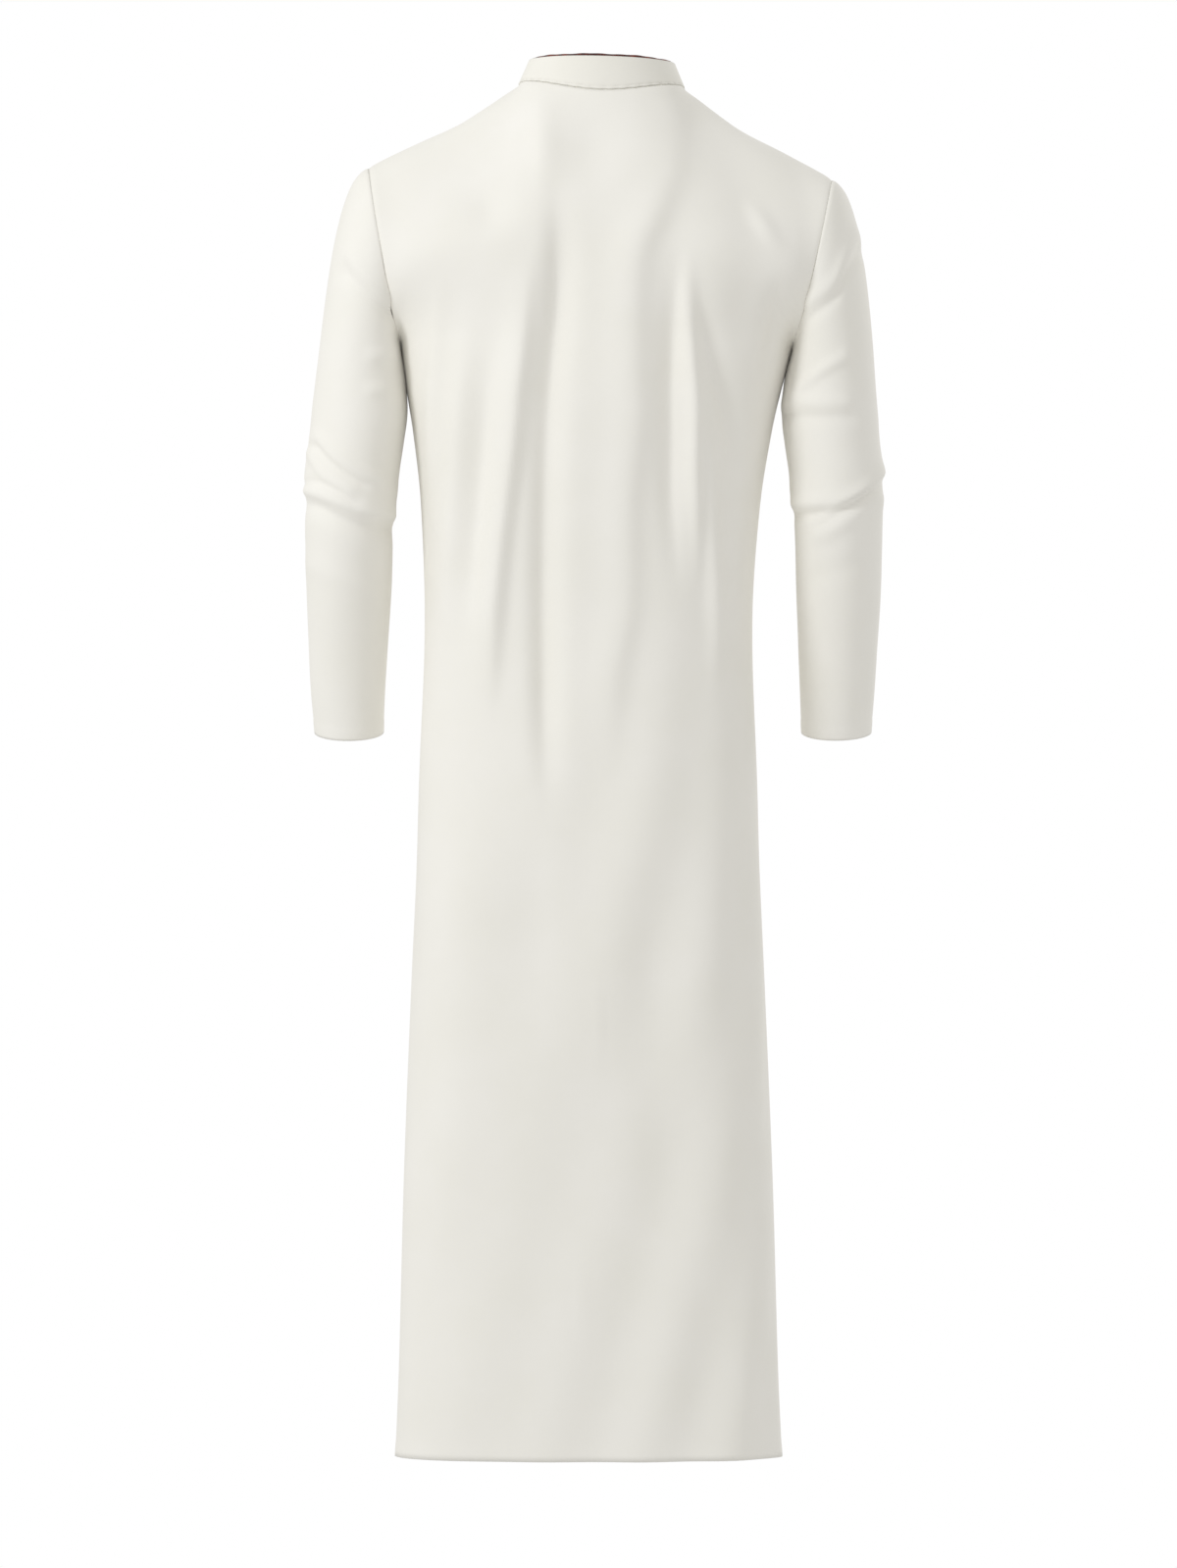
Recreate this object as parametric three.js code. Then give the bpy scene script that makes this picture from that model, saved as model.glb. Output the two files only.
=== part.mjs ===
// Thobe robe: a long loose gown with set-in sleeves and a stand collar, in the hollow form it
// takes when it is worn. Millimetres, +Z up. The front faces -Y and the wearer's left is +X.
// The origin is the middle of the neck's base, where the wearer's neck and shoulders carry it.
//
// Every piece of cloth is a grid of points on the garment's outer face. Each grid is moved out
// by the folds, leaned with the posture, and given a wall on its inner side.
import * as THREE from 'three';

// ---- Driving dimensions ----
const WALL = 1.6; // shirting with its turned edges
const COLLAR_WALL = 2.4; // stand collar, two layers and interlining
const SEAM_GAP = 0.4; // between the edges of two sewn pieces
const LAY_GAP = 0.35; // between a piece and the panel it lies on

const HEM_Z = -1394;
const ARMPIT = { x: 199.5, z: -262 };
const SHOULDER_TIP = { x: 236, z: -88 };
const ARMHOLE_REACH = 70; // from the shoulder line to the back or front of the armhole

const NECK = { half: 83, back: 62, front: -80 }; // the seam under the collar
const COLLAR_TOP = { half: 73, back: 60, front: -68 };
const NECK_SHARE = 0.34; // the part of a panel's half width that ends at the neck
const NECK_ANGLES = [0, 12, 27, 43, 59, 75, 90]; // stations from the centre to the shoulder, in degrees

const SLIT_LENGTH = 330; // front opening, below the collar
const BUTTONS = 4;
const BUTTON = { radius: 5.8, thick: 2.6, hole: 0.9, holeOffset: 1.9, firstDrop: 22, pitch: 86, shank: 1 };

const SLEEVE_HEAD_Z = -300; // the sleeve is a plain tube below this
const FOREARM_TILT = THREE.MathUtils.degToRad(12.6);

const PIPING = { wide: 2.8, high: 2.8 };

// Rings of the body below the armpit. half is the half width, back and front are the depths
// from the side seam, and square is the superellipse exponent.
const BODY = [
  { z: -262, half: 199.5, back: 117, front: 134, square: 2.3 },
  { z: -306, half: 190.5, back: 118, front: 135, square: 2.3 },
  { z: -350, half: 182, back: 117, front: 132, square: 2.35 },
  { z: -425, half: 172, back: 112, front: 125, square: 2.4 },
  { z: -550, half: 166, back: 105, front: 120, square: 2.4 },
  { z: -710, half: 171.5, back: 108, front: 114, square: 2.4 },
  { z: -800, half: 174, back: 110, front: 111, square: 2.4 },
  { z: -910, half: 179, back: 105, front: 109, square: 2.45 },
  { z: -1110, half: 187, back: 95, front: 107, square: 2.5 },
  { z: -1310, half: 192.5, back: 89, front: 105, square: 2.6 },
  { z: -1394, half: 196, back: 87, front: 105, square: 2.6 },
];

// The line over the shoulder, from the neck to the tip.
const SHOULDER = [
  { x: 83, z: 1.5 },
  { x: 97, z: -8 },
  { x: 113, z: -20 },
  { x: 142, z: -40 },
  { x: 183, z: -60 },
  { x: 222, z: -80 },
  { x: 236, z: -88 },
];

// How far the armhole seam is from the centre, by height.
const ARMHOLE = [
  { z: -262, x: 199.5 },
  { z: -228, x: 209 },
  { z: -178, x: 219 },
  { z: -135, x: 227.5 },
  { z: -88, x: 236 },
];

// Rings of the arm. outer and inner are the distances from the garment's centre, mid is the
// ring's centre in Y, and deep is its half depth.
const ARM = [
  { z: -300, outer: 284, inner: 193.5, mid: 2, deep: 64 },
  { z: -330, outer: 287, inner: 191.5, mid: 4, deep: 63 },
  { z: -360, outer: 289.5, inner: 195, mid: 5, deep: 62 },
  { z: -392, outer: 293.5, inner: 199.5, mid: 7, deep: 60 },
  { z: -412, outer: 292.5, inner: 201, mid: 8, deep: 59 },
  { z: -436, outer: 293, inner: 204.5, mid: 7, deep: 57 },
  { z: -510, outer: 292, inner: 207.5, mid: -6, deep: 52 },
  { z: -560, outer: 290.5, inner: 211, mid: -18, deep: 48 },
  { z: -610, outer: 288.5, inner: 214, mid: -31, deep: 45 },
  { z: -656, outer: 284.5, inner: 215.5, mid: -42, deep: 42 },
];

// Height of the collar's seam and top edge, by the angle from the back centre. The first row
// mirrors the third, so that the seam is level at the back centre.
const COLLAR = [
  { deg: -55, seam: 3, top: 27 },
  { deg: 0, seam: -6, top: 27.8 },
  { deg: 55, seam: 3, top: 27 },
  { deg: 90, seam: 1.5, top: 24.5 },
  { deg: 120, seam: -14, top: 12 },
  { deg: 150, seam: -44, top: -13 },
  { deg: 180, seam: -65, top: -30 },
];

// The garment leans a little to the wearer's left and its left shoulder is higher.
const LEAN = [
  { z: -1400, body: 14, sleeve: 9 },
  { z: -560, body: 14, sleeve: 9 },
  { z: -330, body: 9.5, sleeve: 8 },
  { z: -255, body: 6, sleeve: 6 },
  { z: -85, body: 2, sleeve: 2 },
  { z: 40, body: 0, sleeve: 0 },
];
const SHOULDER_TILT = 6;

// The largest folds: soft ridges (height above 0) and troughs (below 0) from top to end.
const BACK_FOLDS = [
  { topX: 70, topZ: -180, endX: 98, endZ: -650, wide: 20, high: 7 },
  { topX: 42, topZ: -120, endX: 44, endZ: -760, wide: 22, high: -8 },
  { topX: 135, topZ: -240, endX: 148, endZ: -590, wide: 15, high: 5 },
  { topX: -40, topZ: -150, endX: -15, endZ: -720, wide: 26, high: 6 },
  { topX: -78, topZ: -180, endX: -76, endZ: -560, wide: 13, high: -6 },
  { topX: -98, topZ: -170, endX: -110, endZ: -520, wide: 13, high: 6 },
  { topX: -128, topZ: -200, endX: -146, endZ: -480, wide: 16, high: -5 },
];
const FRONT_FOLDS = [
  { topX: 120, topZ: -200, endX: 105, endZ: -620, wide: 20, high: 6 },
  { topX: 80, topZ: -260, endX: 66, endZ: -760, wide: 22, high: -6 },
  { topX: -105, topZ: -190, endX: -92, endZ: -700, wide: 22, high: 6 },
  { topX: -70, topZ: -330, endX: -50, endZ: -820, wide: 24, high: -5 },
  { topX: -140, topZ: -240, endX: -132, endZ: -540, wide: 16, high: -5 },
];
const FOLD_FADE = 90; // length over which a fold grows from nothing

// Folds across the back of the elbow.
const ELBOW_FOLDS = [
  { z: -372, wide: 14, high: 3 },
  { z: -392, wide: 9, high: -3 },
  { z: -414, wide: 12, high: 3.5 },
  { z: -438, wide: 10, high: -4 },
];

// ---- Small tools ----
const mix = (a, b, t) => a + (b - a) * t;
const clamp01 = (t) => Math.min(1, Math.max(0, t));
const ease = (t) => clamp01(t) ** 2 * (3 - 2 * clamp01(t));
const evenly = (count, from, to) => Array.from({ length: count + 1 }, (_, i) => mix(from, to, i / count));

// A smooth curve through one column of a table whose rows are sorted by the key column.
function lookup(table, key, column, at) {
  const rows = table[0][key] < table[table.length - 1][key] ? table : [...table].reverse();
  const value = Math.min(rows[rows.length - 1][key], Math.max(rows[0][key], at));
  let i = 0;
  while (i < rows.length - 2 && rows[i + 1][key] < value) i += 1;
  const slope = (j) => {
    const low = rows[Math.max(0, j - 1)];
    const high = rows[Math.min(rows.length - 1, j + 1)];
    return (high[column] - low[column]) / (high[key] - low[key]);
  };
  const span = rows[i + 1][key] - rows[i][key];
  const t = (value - rows[i][key]) / span;
  return hermite1(rows[i][column], slope(i) * span, rows[i + 1][column], slope(i + 1) * span, t);
}

function hermite1(p0, m0, p1, m1, t) {
  const a = 2 * t ** 3 - 3 * t ** 2;
  return p0 * (1 + a) + m0 * (t ** 3 - 2 * t ** 2 + t) - p1 * a + m1 * (t ** 3 - t ** 2);
}

function hermite(p0, m0, p1, m1, t) {
  const axis = (k) => hermite1(p0[k], m0[k], p1[k], m1[k], t);
  return new THREE.Vector3(axis('x'), axis('y'), axis('z'));
}

// ---- The garment's form ----

// A point of the neck seam. The angle runs from the back centre, 0, to the front centre, 180.
function neckSeam(deg) {
  const turn = THREE.MathUtils.degToRad(deg);
  const middle = (NECK.back + NECK.front) / 2;
  const reach = (NECK.back - NECK.front) / 2;
  return new THREE.Vector3(
    NECK.half * Math.sin(turn),
    middle + reach * Math.cos(turn),
    lookup(COLLAR, 'deg', 'seam', deg),
  );
}

// The panels' top edge on the wearer's left: round the neck, then along the shoulder.
// side is 1 for the back panel and -1 for the front panel.
function topEdge(column, side) {
  if (column < NECK_SHARE) {
    const quarter = (90 * column) / NECK_SHARE;
    const seam = neckSeam(side > 0 ? quarter : 180 - quarter);
    const down = new THREE.Vector3(seam.x, seam.y - 5, 0).normalize().multiplyScalar(SEAM_GAP);
    return seam.add(down.setZ(-SEAM_GAP));
  }
  const along = (column - NECK_SHARE) / (1 - NECK_SHARE);
  const x = mix(NECK.half + SEAM_GAP, SHOULDER_TIP.x, along);
  const middleY = (NECK.back + NECK.front) / 2;
  const z = lookup(SHOULDER, 'x', 'z', x) - SEAM_GAP * (1 - along);
  return new THREE.Vector3(x, mix(middleY, 0, ease(along * 2)), z);
}

// The direction in which a thread of the panel leaves the top edge.
function topTangent(column, side) {
  const fromCentre = ease(column / NECK_SHARE);
  const centreOut = side > 0 ? 60 : 45;
  const centreDown = side > 0 ? -100 : -85;
  return new THREE.Vector3(0, side * mix(centreOut, 118, fromCentre), mix(centreDown, 0, fromCentre));
}

// A ring point of the body at a height. column runs from the centre, 0, to the side seam, 1.
function bodyRing(column, z, side) {
  const get = (name) => lookup(BODY, 'z', name, z);
  const turn = (column * Math.PI) / 2;
  const power = 2 / get('square');
  const depth = side > 0 ? get('back') : -get('front');
  return new THREE.Vector3(get('half') * Math.sin(turn) ** power, depth * Math.max(0, Math.cos(turn)) ** power, z);
}

// Half of the armhole seam, from the shoulder tip, 0, over the back or front to the armpit, 1.
function armholeSeam(along, side) {
  const z = (SHOULDER_TIP.z + ARMPIT.z) / 2 + ((SHOULDER_TIP.z - ARMPIT.z) / 2) * Math.cos(along * Math.PI);
  const y = side * ARMHOLE_REACH * Math.sin(along * Math.PI);
  return new THREE.Vector3(lookup(ARMHOLE, 'z', 'x', z), y, z);
}

// The curve across the shoulder blades or the chest, from the centre to the armhole.
function bladeCurve(column, side) {
  const end = armholeSeam(0.5, side);
  const centreY = side > 0 ? 110 : 122;
  const power = 2.6;
  const ratio = (ARMHOLE_REACH / centreY) ** power;
  const fullHalf = end.x / (1 - ratio) ** (1 / power);
  const x = mix(topEdge(column, side).x, bodyRing(column, ARMPIT.z, side).x, 0.5) * mix(1, end.x / 217.75, column);
  const y = side * centreY * (1 - (x / fullHalf) ** power) ** (1 / power);
  return new THREE.Vector3(x, y, mix(side > 0 ? -128 : -160, end.z, ease(column)));
}

function upperThread(column, v, side) {
  const top = topEdge(column, side);
  const blade = bladeCurve(column, side);
  const chest = bodyRing(column, ARMPIT.z, side);
  const through = chest.clone().sub(top).multiplyScalar(0.5 * mix(1, 1.657, column ** 6));
  if (v < 0.5) return hermite(top, topTangent(column, side), blade, through, v * 2);
  const below = bodyRing(column, ARMPIT.z - 2, side).sub(chest).multiplyScalar(50);
  return hermite(blade, through, chest, below, v * 2 - 1);
}

// A point of a body panel on the wearer's left. row.v runs from the top edge, 0, to the armpit
// level, 1; rows below that have a height row.z instead.
function panelPoint(column, row, side) {
  if (row.z !== undefined) return bodyRing(column, row.z, side);
  const point = upperThread(column, row.v, side);
  const miss = armholeSeam(row.v, side).sub(upperThread(1, row.v, side));
  return point.addScaledVector(miss, column ** 8);
}

// Moves a point for the garment's lean and its higher left shoulder.
function posture(point, part) {
  const shoulderTilt = SHOULDER_TILT * (point.x / SHOULDER_TIP.x) * ease((point.z + 350) / 200);
  return new THREE.Vector3(point.x + lookup(LEAN, 'z', part, point.z), point.y, point.z + shoulderTilt);
}

function foldHeight(folds, x, z) {
  return folds.reduce((sum, fold) => {
    const along = (fold.topZ - z) / (fold.topZ - fold.endZ);
    if (along <= 0 || along >= 1) return sum;
    const length = fold.topZ - fold.endZ;
    const grown = ease((along * length) / FOLD_FADE) * ease(((1 - along) * length) / FOLD_FADE);
    const off = (x - mix(fold.topX, fold.endX, along)) / fold.wide;
    return sum + fold.high * grown * Math.exp(-off * off);
  }, 0);
}

// ---- Grids and walls ----

// A face's outward normal at every point of a grid of rows, from its neighbours.
function gridNormals(rows, flip, closed) {
  const count = rows[0].length;
  return rows.map((row, r) => row.map((_, c) => {
    const left = closed ? row[(c + count - 1) % count] : row[Math.max(0, c - 1)];
    const right = closed ? row[(c + 1) % count] : row[Math.min(count - 1, c + 1)];
    const up = rows[Math.max(0, r - 1)][c];
    const down = rows[Math.min(rows.length - 1, r + 1)][c];
    const across = right.clone().sub(left);
    const along = down.clone().sub(up);
    return across.cross(along).normalize().multiplyScalar(flip);
  }));
}

// Takes out of a normal what points along a seam's crossing direction, so that the walls of the
// two pieces that meet there stay parallel.
function squareTo(normal, direction) {
  const unit = direction.clone().normalize();
  return normal.addScaledVector(unit, -normal.dot(unit)).normalize();
}

// Closes a sheet of quads into a solid. outer and inner are its two faces, point for point.
// Each quad lists four point numbers, anticlockwise as seen from outside.
function solidSheet(outer, inner, quads) {
  const triangles = [];
  const edges = new Map();
  const shift = outer.length;
  quads.forEach(([a, b, c, d]) => {
    triangles.push([a, b, c], [a, c, d]);
    triangles.push([a + shift, c + shift, b + shift], [a + shift, d + shift, c + shift]);
    [[a, b], [b, c], [c, d], [d, a]].forEach(([from, to]) => {
      if (edges.delete(`${to}_${from}`)) return;
      edges.set(`${from}_${to}`, [from, to]);
    });
  });
  edges.forEach(([from, to]) => {
    triangles.push([from, from + shift, to + shift], [from, to + shift, to]);
  });
  const geometry = new THREE.BufferGeometry();
  const places = [...outer, ...inner].flatMap((p) => [p.x, p.y, p.z]);
  geometry.setAttribute('position', new THREE.Float32BufferAttribute(places, 3));
  geometry.setIndex(triangles.flat());
  geometry.computeVertexNormals();
  return geometry;
}

function movedAlong(points, normals, distance) {
  return points.map((point, i) => point.clone().addScaledVector(normals[i], distance));
}

// Quads between the rows of a grid that is numbered row by row.
function gridQuads(rowCount, columnCount, closed, turned) {
  const quads = [];
  for (let r = 0; r < rowCount - 1; r += 1) {
    for (let c = 0; c < (closed ? columnCount : columnCount - 1); c += 1) {
      const next = (c + 1) % columnCount;
      const above = r * columnCount;
      const below = above + columnCount;
      const quad = [above + c, below + c, below + next, above + next];
      quads.push(turned ? quad.reverse() : quad);
    }
  }
  return quads;
}

// ---- Body panels ----

const UPPER_ROWS = [0, 0.09, 0.2, 0.34, 0.5, 0.64, 0.78, 0.9].map((v) => ({ v }));
const LOWER_LEVELS = [
  -262, -284, -310, -345, -385, -430, -480, -540, -605, -675, -745, -815, -900, -1000, -1110, -1220, -1320, HEM_Z,
];
const ROWS = [...UPPER_ROWS, ...LOWER_LEVELS.map((z) => ({ z }))];
const SLIT_END = COLLAR[COLLAR.length - 1].seam - SLIT_LENGTH;
const SLIT_ROWS = ROWS.filter((row) => row.v !== undefined || row.z > SLIT_END).length;

// Shares of the half width at which the panels have a column of points.
// The front's first column after the centre is the placket's edge.
const NECK_COLUMNS = NECK_ANGLES.map((deg) => (NECK_SHARE * deg) / 90);
const BACK_COLUMNS = [...NECK_COLUMNS, 0.43, 0.52, 0.61, 0.7, 0.79, 0.9, 1];
const FRONT_COLUMNS = [...NECK_COLUMNS, 0.45, 0.56, 0.67, 0.78, 0.89, 1];

// A whole panel as rows of points and their normals, from the wearer's right side to the left.
function panelGrid(halfColumns, side, folds) {
  const columns = [...halfColumns.slice(1).reverse().map((c) => -c), ...halfColumns];
  const form = ROWS.map((row) => columns.map((column) => {
    const point = panelPoint(Math.abs(column), row, side);
    if (Math.abs(column) === 1 && row.z !== undefined) point.y = (side * SEAM_GAP) / 2;
    if (row.v === 0 && Math.abs(column) > NECK_SHARE) point.y += (side * SEAM_GAP) / 2;
    return point.setX(point.x * Math.sign(column || 1));
  }));
  const formNormals = gridNormals(form, side, false);
  const folded = form.map((row, r) => row.map((point, c) => {
    const nearSide = ease((1 - Math.abs(columns[c])) / 0.2);
    return point.clone().addScaledVector(formNormals[r][c], foldHeight(folds, point.x, point.z) * nearSide);
  }));
  const grid = folded.map((row) => row.map((point) => posture(point, 'body')));
  const normals = gridNormals(grid, side, false);
  const acrossSeam = new THREE.Vector3(0, 1, 0);
  normals.forEach((row, r) => row.forEach((normal, c) => {
    const onSide = Math.abs(columns[c]) === 1 && r >= UPPER_ROWS.length;
    const onShoulder = r === 0 && Math.abs(columns[c]) >= NECK_SHARE;
    if (onSide || onShoulder) squareTo(normal, acrossSeam);
  }));
  return { grid, normals, columns };
}

function backPanel() {
  const { grid, normals, columns } = panelGrid(BACK_COLUMNS, 1, BACK_FOLDS);
  const outer = grid.flat();
  const quads = gridQuads(ROWS.length, columns.length, false, true);
  return solidSheet(outer, movedAlong(outer, normals.flat(), -WALL), quads);
}

// The front panel is one piece whose centre is slit down from the neck, so the centre column's
// points are doubled there.
function frontPanel() {
  const { grid, normals, columns } = frontGrid;
  const centre = columns.indexOf(0);
  const outer = grid.flat();
  const outerNormals = normals.flat();
  const quads = gridQuads(ROWS.length, columns.length, false, false);
  const twin = new Map();
  for (let r = 0; r < SLIT_ROWS; r += 1) {
    const index = r * columns.length + centre;
    twin.set(index, outer.length);
    outer.push(outer[index].clone().setX(outer[index].x + SEAM_GAP));
    outerNormals.push(outerNormals[index]);
    outer[index] = outer[index].clone().setX(outer[index].x - SEAM_GAP);
  }
  quads.forEach((quad) => {
    const onLeft = quad.some((index) => index % columns.length === centre + 1);
    if (onLeft) quad.forEach((index, i) => { quad[i] = twin.get(index) ?? index; });
  });
  return solidSheet(outer, movedAlong(outer, outerNormals, -WALL), quads);
}

// A placket is the strip of the front panel's own points beside the slit, moved in or out.
function placket(lift) {
  const { grid, normals, columns } = frontGrid;
  const centre = columns.indexOf(0);
  const rows = grid.slice(0, SLIT_ROWS + 1).map((row) => row.slice(centre - 1, centre + 2));
  const rowNormals = normals.slice(0, SLIT_ROWS + 1).map((row) => row.slice(centre - 1, centre + 2));
  const outer = movedAlong(rows.flat(), rowNormals.flat(), lift + WALL);
  const inner = movedAlong(rows.flat(), rowNormals.flat(), lift);
  return solidSheet(outer, inner, gridQuads(rows.length, 3, false, false));
}

// ---- Sleeves ----

const SLEEVE_SIDES = 16;
const HEAD_STEPS = [0, 0.12, 0.26, 0.42, 0.6, 0.8];
const ARM_LEVELS = [-300, -330, -360, -380, -397, -414, -430, -446, -475, -520, -570, -615, -656];

// A ring point of the arm. The angle is 0 on the outside of the arm and 90 at its back.
function armRing(angle, z) {
  const get = (name) => lookup(ARM, 'z', name, z);
  const halfWidth = (get('outer') - get('inner')) / 2;
  const middle = (get('outer') + get('inner')) / 2;
  const tilt = FOREARM_TILT * ease((-400 - z) / 100);
  const depth = get('deep') * Math.sin(angle);
  return new THREE.Vector3(
    middle + halfWidth * Math.cos(angle),
    get('mid') + depth * Math.cos(tilt),
    z - depth * Math.sin(tilt),
  );
}

// The sleeve's head, from the armhole to the first plain ring.
function sleeveHead(angle, step) {
  const side = Math.sin(angle) >= 0 ? 1 : -1;
  const along = Math.acos(Math.min(1, Math.max(-1, Math.cos(angle)))) / Math.PI;
  const start = armholeSeam(along, side).add(new THREE.Vector3(0.98, 0, -0.2).multiplyScalar(SEAM_GAP + 0.1));
  const end = armRing(angle, SLEEVE_HEAD_Z);
  const length = end.distanceTo(start);
  const drop = THREE.MathUtils.degToRad(24 + 66 * along);
  const leave = new THREE.Vector3(Math.cos(drop), 0.1 * Math.sin(angle), -Math.sin(drop));
  const arrive = new THREE.Vector3(0.1 * Math.cos(angle), 0, -1);
  leave.multiplyScalar(0.45 * length);
  arrive.multiplyScalar(1.16 * length);
  return hermite(start, leave, end, arrive, step);
}

// The elbow's folds lie across the back of the arm.
function elbowFold(angle, z) {
  const back = ease(0.5 + 0.9 * Math.sin(angle));
  return back * ELBOW_FOLDS.reduce((sum, fold) => {
    const off = (z + 26 * Math.cos(angle) * 0.5 - fold.z) / fold.wide;
    return sum + fold.high * Math.exp(-off * off);
  }, 0);
}

// hand is 1 for the wearer's left sleeve and -1 for the right.
function sleeve(hand) {
  const angles = evenly(SLEEVE_SIDES, 0, 2 * Math.PI).slice(0, -1);
  const form = [
    ...HEAD_STEPS.map((step) => angles.map((angle) => sleeveHead(angle, step))),
    ...ARM_LEVELS.map((z) => angles.map((angle) => armRing(angle, z))),
  ];
  const formNormals = gridNormals(form, -1, true);
  const grid = form.map((row, r) => row.map((point, c) => {
    const folded = point.clone().addScaledVector(formNormals[r][c], elbowFold(angles[c], point.z));
    return posture(folded.setX(folded.x * hand), 'sleeve');
  }));
  const normals = gridNormals(grid, -hand, true);
  const seamNormal = new THREE.Vector3(0.98 * hand, 0, -0.2);
  normals[0].forEach((normal) => squareTo(normal, seamNormal));
  const outer = grid.flat();
  const quads = gridQuads(grid.length, SLEEVE_SIDES, true, hand < 0);
  return solidSheet(outer, movedAlong(outer, normals.flat(), -WALL), quads);
}

// ---- Collar and its piping ----

const COLLAR_END_DEG = 179.2; // the ends stand this far round, with a small gap between them
const CORNER_DEG = 9; // the top corners are rounded over this angle
const CORNER_ANGLES = [172, 175, 177.5, COLLAR_END_DEG];

function collarTop(deg) {
  const turn = THREE.MathUtils.degToRad(Math.abs(deg));
  const middle = (COLLAR_TOP.back + COLLAR_TOP.front) / 2;
  const reach = (COLLAR_TOP.back - COLLAR_TOP.front) / 2;
  return new THREE.Vector3(
    COLLAR_TOP.half * Math.sin(turn) * Math.sign(deg || 1),
    middle + reach * Math.cos(turn),
    lookup(COLLAR, 'deg', 'top', Math.abs(deg)),
  );
}

// A point of the collar's outer face. height is 0 at the seam and 1 at the top edge.
function collarPoint(deg, height) {
  const seam = neckSeam(Math.abs(deg));
  seam.x *= Math.sign(deg || 1);
  const corner = Math.max(0, 1 - (COLLAR_END_DEG - Math.abs(deg)) / CORNER_DEG);
  const reach = 1 - 0.3 * (1 - Math.sqrt(1 - corner * corner));
  return posture(seam.lerp(collarTop(deg), height * reach), 'body');
}

// The collar's stations on one side: those of the two panels, then its rounded corner.
const HALF_COLLAR = [
  ...NECK_ANGLES,
  ...NECK_ANGLES.slice(1, -1).reverse().map((deg) => 180 - deg),
  ...CORNER_ANGLES,
];
const COLLAR_ANGLES = [...HALF_COLLAR.slice(1).reverse().map((deg) => -deg), ...HALF_COLLAR];

function collar() {
  const rows = [1, 0.5, 0].map((height) => COLLAR_ANGLES.map((deg) => collarPoint(deg, height)));
  const normals = gridNormals(rows, 1, false);
  const outer = rows.flat();
  const quads = gridQuads(rows.length, COLLAR_ANGLES.length, false, true);
  return solidSheet(outer, movedAlong(outer, normals.flat(), -COLLAR_WALL), quads);
}

// A round cord sewn along the collar's top edge, as rings of eight points with closed ends.
function collarPiping() {
  const rows = [1, 0.5].map((height) => COLLAR_ANGLES.map((deg) => collarPoint(deg, height)));
  const normals = gridNormals(rows, 1, false)[0];
  const sides = 8;
  const rings = COLLAR_ANGLES.map((deg, i) => {
    const up = collarPoint(deg, 1).sub(collarPoint(deg, 0)).normalize();
    const middle = collarPoint(deg, 1).addScaledVector(normals[i], -COLLAR_WALL / 2);
    middle.addScaledVector(up, PIPING.high / 2 + LAY_GAP);
    return evenly(sides, 0, 2 * Math.PI).slice(0, -1).map((turn) => middle.clone()
      .addScaledVector(normals[i], (PIPING.wide / 2) * Math.cos(turn))
      .addScaledVector(up, (PIPING.high / 2) * Math.sin(turn)));
  });
  const points = rings.flat();
  const triangles = gridQuads(rings.length, sides, true, true).flatMap(([a, b, c, d]) => [a, b, c, a, c, d]);
  const last = (rings.length - 1) * sides;
  for (let k = 1; k < sides - 1; k += 1) {
    triangles.push(0, k + 1, k);
    triangles.push(last, last + k, last + k + 1);
  }
  const geometry = new THREE.BufferGeometry();
  const places = points.flatMap((p) => [p.x, p.y, p.z]);
  geometry.setAttribute('position', new THREE.Float32BufferAttribute(places, 3));
  geometry.setIndex(triangles);
  geometry.computeVertexNormals();
  return geometry;
}

// ---- Buttons ----

function buttonGeometry() {
  const shape = new THREE.Shape();
  shape.absarc(0, 0, BUTTON.radius, 0, 2 * Math.PI, false);
  [45, 135, 225, 315].forEach((deg) => {
    const turn = THREE.MathUtils.degToRad(deg);
    const hole = new THREE.Path();
    hole.absarc(BUTTON.holeOffset * Math.cos(turn), BUTTON.holeOffset * Math.sin(turn), BUTTON.hole, 0, 2 * Math.PI, true);
    shape.holes.push(hole);
  });
  return new THREE.ExtrudeGeometry(shape, { depth: BUTTON.thick, bevelEnabled: false, curveSegments: 8 });
}

// The point and normal of the front's centre line at a distance below the collar.
function frontCentre(drop) {
  const { grid, normals, columns } = frontGrid;
  const centre = columns.indexOf(0);
  let walked = 0;
  let r = 0;
  while (walked + grid[r][centre].distanceTo(grid[r + 1][centre]) < drop) {
    walked += grid[r][centre].distanceTo(grid[r + 1][centre]);
    r += 1;
  }
  const t = (drop - walked) / grid[r][centre].distanceTo(grid[r + 1][centre]);
  const normal = normals[r][centre].clone().lerp(normals[r + 1][centre], t).normalize();
  return { point: grid[r][centre].clone().lerp(grid[r + 1][centre], t), normal };
}

function button(number) {
  const { point, normal } = frontCentre(BUTTON.firstDrop + BUTTON.pitch * number);
  const mesh = new THREE.Mesh(buttonGeometry(), buttonMaterial);
  mesh.position.copy(point).addScaledVector(normal, WALL + LAY_GAP + BUTTON.shank);
  mesh.quaternion.setFromUnitVectors(new THREE.Vector3(0, 0, 1), normal);
  return mesh;
}

// ---- The robe ----

const cloth = (color) => new THREE.MeshStandardMaterial({ color, roughness: 0.85, metalness: 0 });
const buttonMaterial = new THREE.MeshStandardMaterial({ color: 0xe9e2d2, roughness: 0.35, metalness: 0 });
const frontGrid = panelGrid(FRONT_COLUMNS, -1, FRONT_FOLDS);

const robe = new THREE.Group();

function add(name, mesh) {
  mesh.name = name;
  robe.add(mesh);
}

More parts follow.
